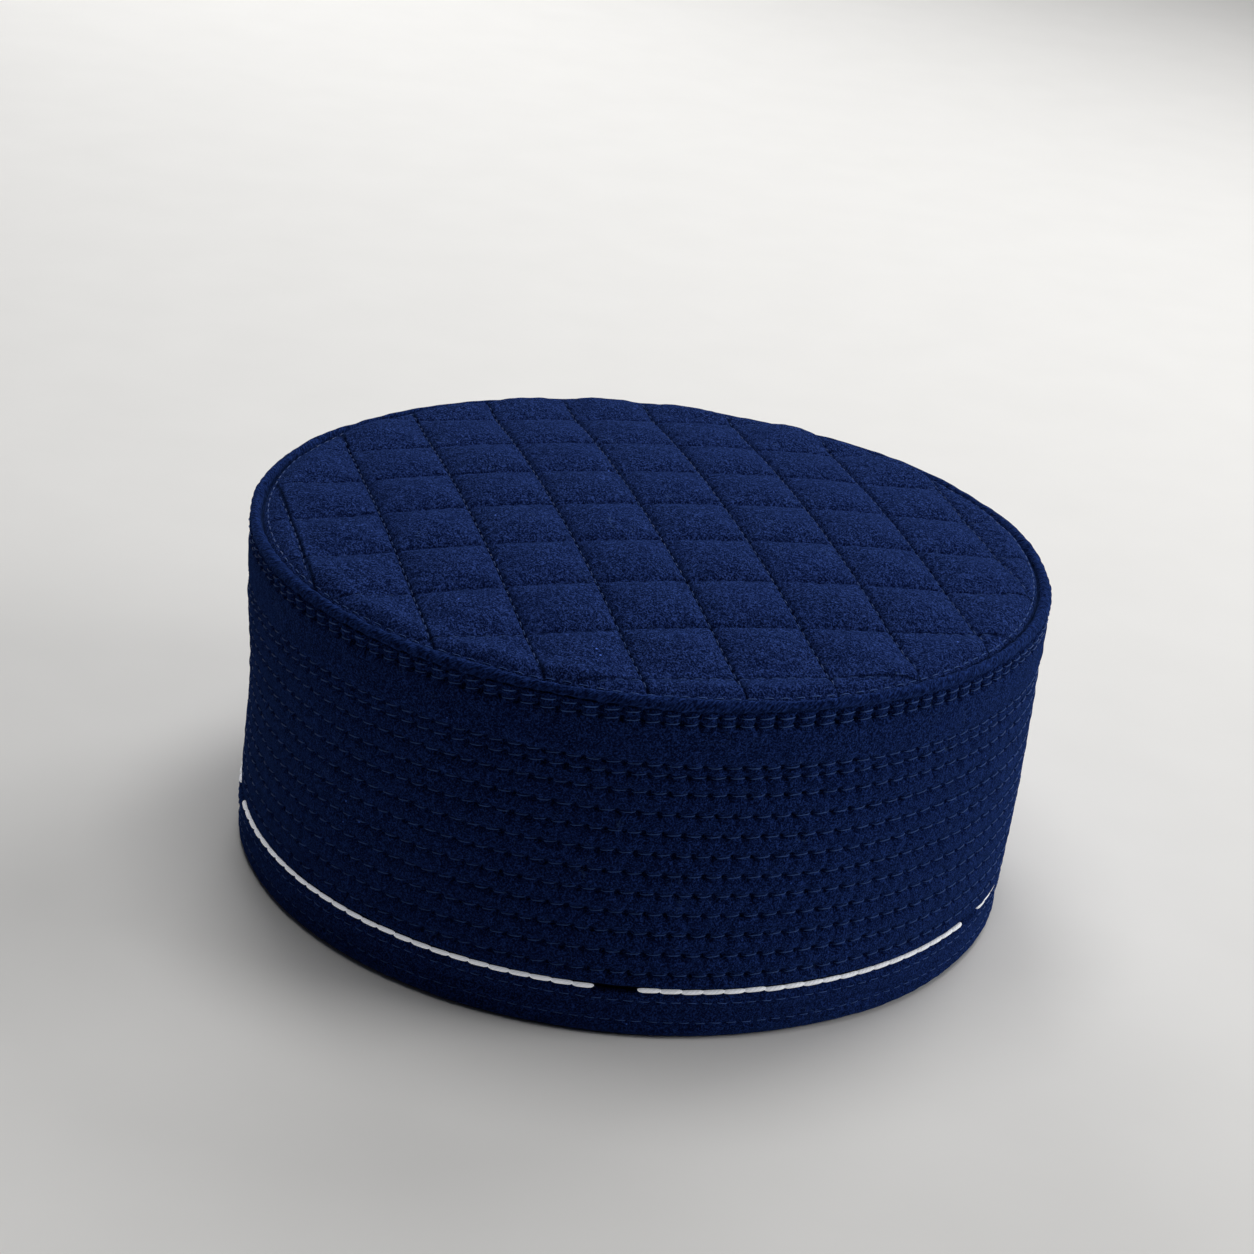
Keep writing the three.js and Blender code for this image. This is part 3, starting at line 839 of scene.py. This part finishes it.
class PuffGrid:
    """How far the crown's cloth moves from its plain dome, on a grid that runs along the quilting."""

    def __init__(self):
        self.step = np.array([PITCH_A, PITCH_B]) / CELLS
        lowest = np.array([A_PLACES[0], B_PLACES[0]])
        self.first = np.floor((-CROWN_RADIUS - lowest) / self.step).astype(int) - 2
        count = (2 * CROWN_RADIUS / self.step).astype(int) + 7
        numbers = (f + np.arange(c) for f, c in zip(self.first, count))
        self.ka, self.kb = np.meshgrid(*numbers, indexing="ij")
        a = A_PLACES[0] + self.ka * self.step[0]
        b = B_PLACES[0] + self.kb * self.step[1]
        self.x, self.y = (a * ACROSS[i] + b * AWAY[i] for i in (0, 1))
        self.r = np.hypot(self.x, self.y)
        on_a = (self.ka % CELLS == 0) & (self.ka >= 0) & (self.ka <= CELLS * (len(A_PLACES) - 1))
        on_b = (self.kb % CELLS == 0) & (self.kb >= 0) & (self.kb <= CELLS * (len(B_PLACES) - 1))
        edge = self.r > EDGE_ROW_RADIUS - 0.4 * MM
        self.held = (on_a & (self.kb % STITCH_CELLS == 0)) | (on_b & (self.ka % STITCH_CELLS == 0)) | edge
        self.under_thread = (on_a | on_b) & ~self.held
        self.move = self.calm(self.simulate())

    def calm(self, move):
        """Smooths the narrow strips that the edge leaves, where the cloth would ruffle."""
        smooth = move
        for _ in range(7):
            for axis in (0, 1):
                smooth = (np.roll(smooth, 1, axis) + 2 * smooth + np.roll(smooth, -1, axis)) / 4
        share = smoothstep(72 * MM, 84 * MM, self.r)[..., None]
        return move * (1 - share) + smooth * share

    def simulate(self):
        used = self.r < CROWN_RADIUS + 2 * self.step[0]
        index = -np.ones(used.shape, int)
        index[used] = np.arange(used.sum())
        rest = np.stack([self.x, self.y, dome_height(self.r)], -1)[used] * SIM_SCALE
        quads = np.stack([index[:-1, :-1], index[1:, :-1], index[1:, 1:], index[:-1, 1:]], -1).reshape(-1, 4)
        quads = quads[(quads >= 0).all(1)]
        mesh = bpy.data.meshes.new("crown_sim")
        mesh.from_pydata(rest.tolist(), [], quads.tolist())
        cloth = new_object("crown_sim", mesh)
        pins = cloth.vertex_groups.new(name="stitches")
        pins.add(index[self.held & used].tolist(), 1.0, "REPLACE")
        pins.add(index[self.under_thread & used].tolist(), 0.8, "REPLACE")
        modifier = cloth.modifiers.new("Cloth", "CLOTH")
        settings = modifier.settings
        settings.quality = 4
        settings.tension_stiffness = settings.compression_stiffness = 4
        settings.bending_stiffness = 1
        settings.use_pressure = True
        settings.uniform_pressure_force = 24
        settings.shrink_min = -0.014  # the felt is a little larger than the backing it is sewn to
        settings.effector_weights.gravity = 0
        settings.vertex_group_mass = "stitches"
        modifier.collision_settings.use_collision = False
        modifier.point_cache.frame_end = FRAMES
        scene = bpy.context.scene
        for number in range(1, FRAMES + 1):
            scene.frame_set(number)
        result = cloth.evaluated_get(bpy.context.evaluated_depsgraph_get()).data
        after = np.empty(len(result.vertices) * 3, np.float32)
        result.vertices.foreach_get("co", after)
        move = np.zeros(used.shape + (3,))
        move[used] = (after.reshape(-1, 3) - rest) / SIM_SCALE
        bpy.data.objects.remove(cloth)
        scene.frame_set(1)
        length = np.linalg.norm(move, axis=-1, keepdims=True)
        return move * np.minimum(1, PUFF_LIMIT / np.maximum(length, 1e-9))

    def cells(self, x, y):
        """A point's place in the grid, in cells from its first row and column."""
        across, away = along_quilting(x, y)
        a = (across - A_PLACES[0]) / self.step[0] - self.first[0]
        return a, (away - B_PLACES[0]) / self.step[1] - self.first[1]


puffs = PuffGrid()


def nearest(places, value):
    """Signed distance to the nearest of a few parallel lines."""
    gaps = value[..., None] - places
    pick = np.abs(gaps).argmin(-1)
    return np.take_along_axis(gaps, pick[..., None], -1)[..., 0]


def crown_surface(x, y):
    """The felt's upper surface at plan points: the dome, its puffs, and the furrow that each seam draws."""
    r = np.hypot(x, y)
    plump = 1.15 + smoothstep(70 * MM, 87 * MM, r) * (0.5 + 0.35 * y / CROWN_RADIUS)
    plump = plump + 0.55 * (1 - y / CROWN_RADIUS) * smoothstep(86 * MM, 91.5 * MM, r)
    moved = sample(puffs.move, *puffs.cells(x, y)) * plump[..., None]
    across, away = along_quilting(x, y)
    to_a, to_b = nearest(A_PLACES, across), nearest(B_PLACES, away)
    pitch_a, pitch_b = PITCH_A / CELLS * STITCH_CELLS, PITCH_B / CELLS * STITCH_CELLS
    along_a = ((away - B_PLACES[0]) / pitch_b + 0.5) % 1 - 0.5
    along_b = ((across - A_PLACES[0]) / pitch_a + 0.5) % 1 - 0.5
    inside = smoothstep(EDGE_ROW_RADIUS + 0.5 * MM, EDGE_ROW_RADIUS - 1.5 * MM, r)
    furrow = MM * np.maximum(0.65 * hump(to_a, 0.55 * MM), 0.45 * hump(to_b, 0.45 * MM))
    holes = 0.35 * MM * np.exp(-((to_a / (0.5 * MM)) ** 2) - (along_a * pitch_b / (0.5 * MM)) ** 2)
    holes += 0.35 * MM * np.exp(-((to_b / (0.5 * MM)) ** 2) - (along_b * pitch_a / (0.5 * MM)) ** 2)
    edge = 0.3 * MM * hump(r - EDGE_ROW_RADIUS, 0.6 * MM)
    swell = (1.3 + 0.1 * y / CROWN_RADIUS) * MM * hump(r - CROWN_RADIUS + 4 * MM, 4.5 * MM)
    turned_down = 1.9 * MM * smoothstep(CROWN_RADIUS - 1.0 * MM, CROWN_RADIUS, r) ** 1.7
    z = dome_height(r) - (furrow + holes) * inside - edge + swell - turned_down
    # the edge is drawn out up to the piping
    spread = 1 + 0.9 * MM / CROWN_RADIUS * smoothstep(CROWN_RADIUS - 9 * MM, CROWN_RADIUS, r)
    return np.stack([x * spread, y * spread, z], -1) + moved


def build_crown():
    n = 392
    x, y = disc_grid(CROWN_RADIUS, n)
    top = crown_surface(x, y)
    within = smoothstep(CROWN_RADIUS, CROWN_RADIUS - 3 * MM, np.hypot(x, y))
    top[..., 2] += 0.05 * MM * noise_field(n, n, 10, 10, 41) * within
    lean = wall_radius(CROWN_EDGE) - wall_radius(CROWN_SKIRT_LOW)
    under = CROWN_RADIUS - CROWN_THICKNESS
    rings = [(CROWN_RADIUS - lean, CROWN_SKIRT_LOW), (under - lean, CROWN_SKIRT_LOW)]
    rings += [(under * share, dome_height(under * share) - CROWN_THICKNESS) for share in (1, 0.85, 0.6, 0.3)]
    centre = dome_height(0) - CROWN_THICKNESS
    crown = add_shell("crown_felt", top, rings, centre, CROWN_FELT, "crown_face")


def surface_threads(starts, ends, radius=THREAD_RADIUS, sink=0.4 * MM):
    """Stitches laid on the crown between pairs of plan points."""
    t = np.linspace(0, 1, 8)
    inset = 0.16
    path = starts[:, None] + (ends - starts)[:, None] * (inset + (1 - 2 * inset) * t)[None, :, None]
    middle = (starts + ends) / 2
    base = crown_surface(middle[:, 0], middle[:, 1])  # where the cloth has carried each stitch's middle
    moved = base[:, None, :2] - middle[:, None]
    slope = dome_height(np.linalg.norm(path, axis=-1)) - dome_height(np.linalg.norm(middle, axis=-1))[:, None]
    z = base[:, 2:3] + slope + radius * 0.8 - sink * np.abs(2 * t - 1) ** 5
    paths = np.dstack([path + moved, z])
    outward = np.broadcast_to(np.array([0.0, 0.0, 1.0]), paths.shape)
    return thread_mesh(paths, outward, radius)


def build_quilting():
    reach = EDGE_ROW_RADIUS - 1.2 * MM
    families = [
        (A_NODES, ACROSS, AWAY, PITCH_B, B_PLACES[0]),
        (B_NODES, AWAY, ACROSS, PITCH_A, A_PLACES[0]),
    ]
    for nodes, sideways, forwards, pitch, origin in families:
        stitch = pitch / CELLS * STITCH_CELLS
        for node in nodes:
            place = node_points(node)[:, :2].mean(0) @ sideways
            half = math.sqrt(reach**2 - place**2)
            number = np.arange(math.ceil((-half - origin) / stitch), math.floor((half - origin) / stitch))
            starts = place * sideways + (origin + number * stitch)[:, None] * forwards
            ends = starts + stitch * forwards
            sew(node.replace("stitch", "thread"), surface_threads(starts, ends), node, SEAM_SHADED_THREAD)


def build_edge_row():
    stitch = 3.7 * MM
    count = round(TAU * EDGE_ROW_RADIUS / stitch)
    theta = np.arange(count + 1) * TAU / count
    places = EDGE_ROW_RADIUS * np.stack([np.cos(theta), np.sin(theta)], -1)
    sew("crown_edge_threads", surface_threads(places[:-1], places[1:], sink=0.35 * MM), "crown_edge_stitch")


# ---------------------------------------------------------------- inside


def turned_layer(name, node, material, slot, folds=0.0, ribs=None, columns=720, rows=50):
    """A thin turned layer in place of a node: smooth, softly folded round the axis, or ribbed up and down."""
    (outer, levels), (inner, _) = section(node)
    thickness = min(outer[0] - inner[0], outer[-1] - inner[-1])
    lift = 0.35 * thickness  # how far each rounded rim stands past the straight faces
    z = np.linspace(levels[0] + lift, levels[-1] - lift, rows)
    line = np.interp(z, levels, outer)
    line = np.convolve(np.pad(line, 2, mode="edge"), np.ones(5) / 5, "valid")
    theta = turn_angles(columns)
    up = np.linspace(0, 1, rows)[:, None]
    wave = noise_field(1, columns, 1, columns / 40, 51) * np.sin(math.pi * up) ** 0.5
    inward = folds * np.clip(0.5 + 0.5 * wave, 0, 1.5)
    if ribs:
        count, height_of_rib = ribs
        inward = inward + height_of_rib * (0.5 + 0.5 * np.cos(count * theta))
    from_seam = ((theta - BACK + math.pi) % TAU - math.pi) * outer[0]
    seam = 0.3 * MM * hump(from_seam, 0.6 * MM)
    inner_face = line[:, None] - thickness - (inward - seam) * np.sin(math.pi * (0.04 + 0.92 * up)) ** 0.3
    rim = line[[0, -1]][:, None] - thickness / 2
    radii = np.vstack([line[:, None] + 0 * theta, rim[1:] + 0 * theta, inner_face[::-1], rim[:1] + 0 * theta])
    heights = np.concatenate([z, [z[-1] + lift], z[::-1], [z[0] - lift]])
    add_turned(name, radii, heights, columns, material, [node])


def level_rings(radius, depth, shares):
    """Rings that close a layer at a depth under the dome, which lessens towards the edge."""
    return [(radius * s, dome_height(radius * s) - depth + EDGE_THINNING * s**4) for s in shares]


def build_crown_inside():
    """The lining under the crown, drawn up by the quilting, and the batt of wadding over it."""
    (outer, levels), (inner, _) = section("crown_lining")
    edge = levels[1:][outer[1:] > outer[0]].min()
    x, y = disc_grid(inner[0], 200)
    r = np.hypot(x, y)
    across, away = along_quilting(x, y)
    to_a, to_b = np.abs(nearest(A_PLACES, across)), np.abs(nearest(B_PLACES, away))
    pillow = smoothstep(0, 7 * MM, to_a) * smoothstep(0, 7 * MM, to_b)
    sag = 0.7 * MM * pillow * smoothstep(inner[0], inner[0] - 9 * MM, r)
    drop = LINING_DEPTH + LINING_THICKNESS - EDGE_THINNING * (r / inner[0]) ** 4
    face = np.stack([x, y, dome_height(r) - drop - sag], -1)
    rings = [(inner[0], levels[0]), (outer[0], levels[0]), (outer[0] + 0.2 * MM, edge)]
    shares = (0.9, 0.75, 0.5, 0.25)
    rings += level_rings(outer[0], LINING_DEPTH, shares)
    top = dome_height(0) - LINING_DEPTH
    add_shell("crown_lining_cloth", face, rings, top, LINING, "crown_lining", inside_out=True)
    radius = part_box("crown_wadding")[1].x
    x, y = disc_grid(radius, 120)
    r = np.hypot(x, y)
    # the batt is pressed down along the stitches
    drawn_down = np.minimum(crown_surface(x, y)[..., 2], dome_height(r))
    batt = np.stack([x, y, drawn_down - CROWN_THICKNESS - LAYER_GAP], -1)
    rings = level_rings(radius, BATT_DEPTH, (0.995, *shares))
    top = dome_height(0) - BATT_DEPTH
    add_shell("wadding_batt", batt, rings, top, WADDING, "crown_wadding")


def build_inside():
    turned_layer("stiffener", "side_stiffener", CANVAS, "stiffener_canvas", columns=360, rows=30)
    turned_layer("side_lining_cloth", "side_lining", LINING, "navy_lining", folds=0.4 * MM)
    ribs = 470
    ribbed = dict(folds=0.15 * MM, ribs=(ribs, 0.09 * MM), columns=ribs * 5, rows=24)
    turned_layer("sweatband_ribbon", "sweatband", SWEAT_CLOTH, "sweatband_cloth", **ribbed)
    build_crown_inside()
    z = height("sweatband_stitch")
    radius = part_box("sweatband_stitch")[1].x
    stitch = 3.2 * MM
    count = round(TAU * radius / stitch)
    t = np.linspace(-1, 1, 8)[None, :]
    theta = (np.arange(count)[:, None] + 0.5 + t * 0.36) * TAU / count
    r = radius + 0.05 * MM + 0.2 * MM * np.abs(t) ** 5
    tubes = thread_mesh(round_axis(r, theta, z), -round_axis(1, theta, 0), THREAD_RADIUS)
    sew("sweatband_threads", tubes, "sweatband_stitch")


# ---------------------------------------------------------------- stage


def add_light(name, place, aim, size, power, colour=(1, 1, 1)):
    light = bpy.data.lights.new(name, "AREA")
    light.shape = "DISK"
    light.size, light.energy, light.color = size, power, colour
    lamp = new_object(name, light)
    lamp.location = place
    lamp.rotation_euler = (Vector(aim) - Vector(place)).to_track_quat("-Z", "Y").to_euler()


def build_stage():
    mesh = bpy.data.meshes.new("floor")
    half = 4.0
    corners = [(-half, -half, 0), (half, -half, 0), (half, half, 0), (-half, half, 0)]
    mesh.from_pydata(corners, [], [(0, 1, 2, 3)])
    n = Nodes("floor")
    grain = n.noise(n.place(), 30.0, 4.0)
    pale = n.mix(grain, (0.72, 0.71, 0.69, 1), (0.76, 0.75, 0.73, 1))
    mesh.materials.append(n.set(pale, roughness=0.85))
    floor = new_object("floor", mesh)
    floor.location.z = CAD_BOX[0][2] - 0.15 * MM
    aim = (0, 0, 0.05)
    add_light("back_right", (0.55, 0.75, 0.75), aim, 0.6, 4.2)
    add_light("overhead", (0.0, 0.1, 1.4), aim, 1.0, 9.6)
    add_light("right", (1.3, -0.1, 0.55), aim, 0.8, 8.9)
    add_light("back", (-0.3, 1.2, 0.6), aim, 0.7, 5.6)
    world = bpy.data.worlds.new("studio")
    bpy.context.scene.world = world
    world.use_nodes = True
    background = world.node_tree.nodes["Background"].inputs
    background[0].default_value = (0.8, 0.85, 1.0, 1)
    background[1].default_value = 0.035


def build_camera():
    """Looks at the rim from the front and above, turned a little about its own line of sight."""
    elevation, distance = math.radians(21.75), 0.7587
    yaw, pitch, roll = (math.radians(a) for a in (0.277, -1.669, -6.543))
    target = Vector((0, 0, CROWN_EDGE))
    place = target + distance * Vector((0, -math.cos(elevation), math.sin(elevation)))
    forward = (target - place).normalized()
    right = Vector((1, 0, 0))
    up = right.cross(forward)
    turn = Matrix.Rotation(yaw, 3, up)
    forward, right = turn @ forward, turn @ right
    forward = Matrix.Rotation(pitch, 3, right) @ forward
    up = right.cross(forward)
    turn = Matrix.Rotation(roll, 3, forward)
    right, up = turn @ right, turn @ up
    data = bpy.data.cameras.new("camera")
    data.lens, data.sensor_width = 88.9, 36.0
    camera = new_object("camera", data)
    axes = Matrix((right, up, -forward)).transposed().to_4x4()
    camera.matrix_world = Matrix.Translation(place) @ axes
    bpy.context.scene.camera = camera


build_camera()
build_stage()
build_crown()
build_quilting()
build_edge_row()
build_piping()
build_side_face()
build_rows()
build_back_seam()
build_hem()
build_trim()
build_inside()
bpy.context.scene.view_settings.view_transform = "Standard"
